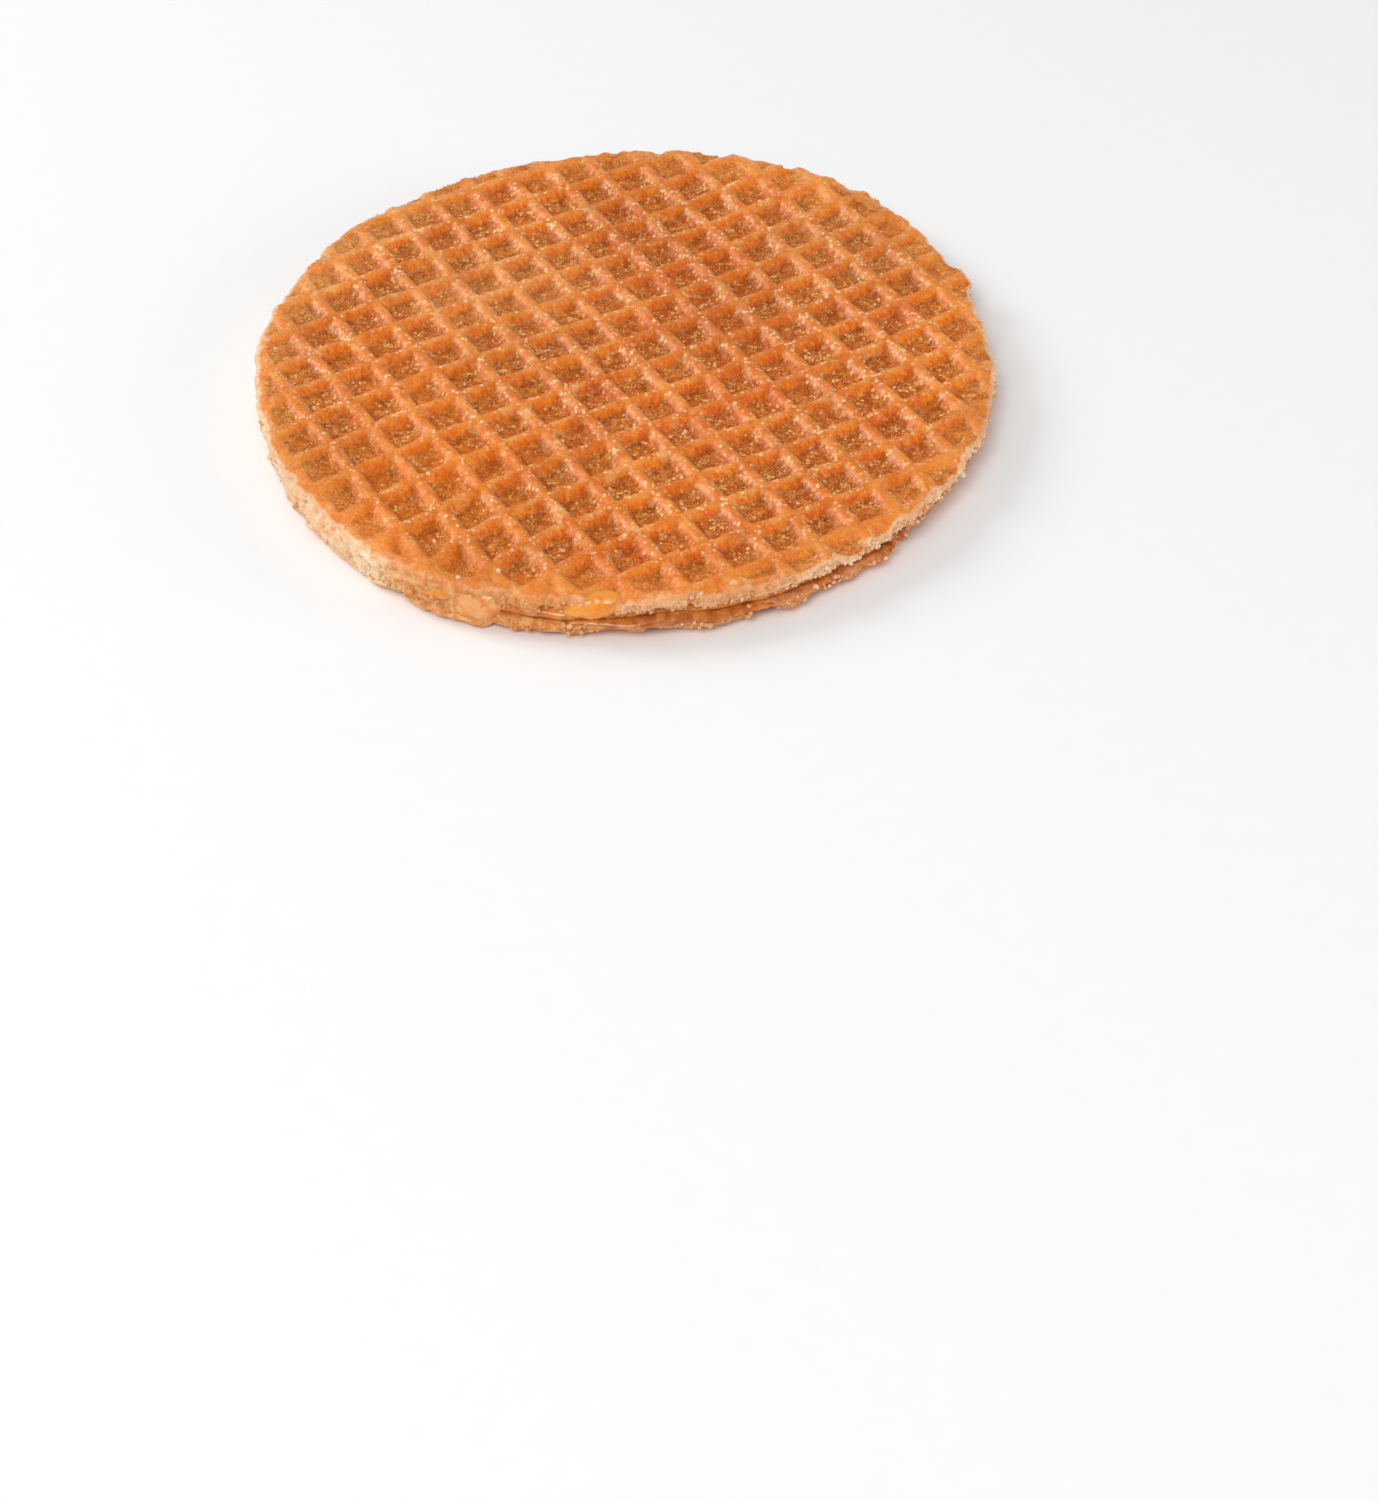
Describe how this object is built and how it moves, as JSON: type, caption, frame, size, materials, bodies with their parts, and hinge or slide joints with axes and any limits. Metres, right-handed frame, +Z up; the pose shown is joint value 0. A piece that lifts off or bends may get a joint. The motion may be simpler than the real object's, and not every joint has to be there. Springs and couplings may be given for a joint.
{
  "type": "stroopwafel",
  "caption": "Round thin waffle biscuit with a square ridge grid pressed into both faces and a layer of caramel syrup sandwiched inside, lying flat.",
  "frame": {"origin": "on the surface the biscuit lies on, below the middle of its outline", "axes": "+Z up through the thin way of the biscuit, +Y away from the side with the syrup runs, +X to the right of that side seen from the front; the ridge grid is turned 30 degrees about +Z"},
  "size_m": [0.0964, 0.1008, 0.0062],
  "materials": {
    "baked_crust": "golden-orange baked waffle crust, brown and grainy in the pockets, pale where the crumb is broken open at the rim, faintly greasy",
    "syrup": "dark amber caramel syrup, glossy and a little see-through where it has run out",
    "lower_baked_crust": "the same baked waffle crust, slightly darker and toasted at its edge"
  },
  "bodies": {
    "root": {"wafer_top": "baked_crust", "caramel": "syrup", "wafer_bottom": "lower_baked_crust"}
  },
  "joints": []
}
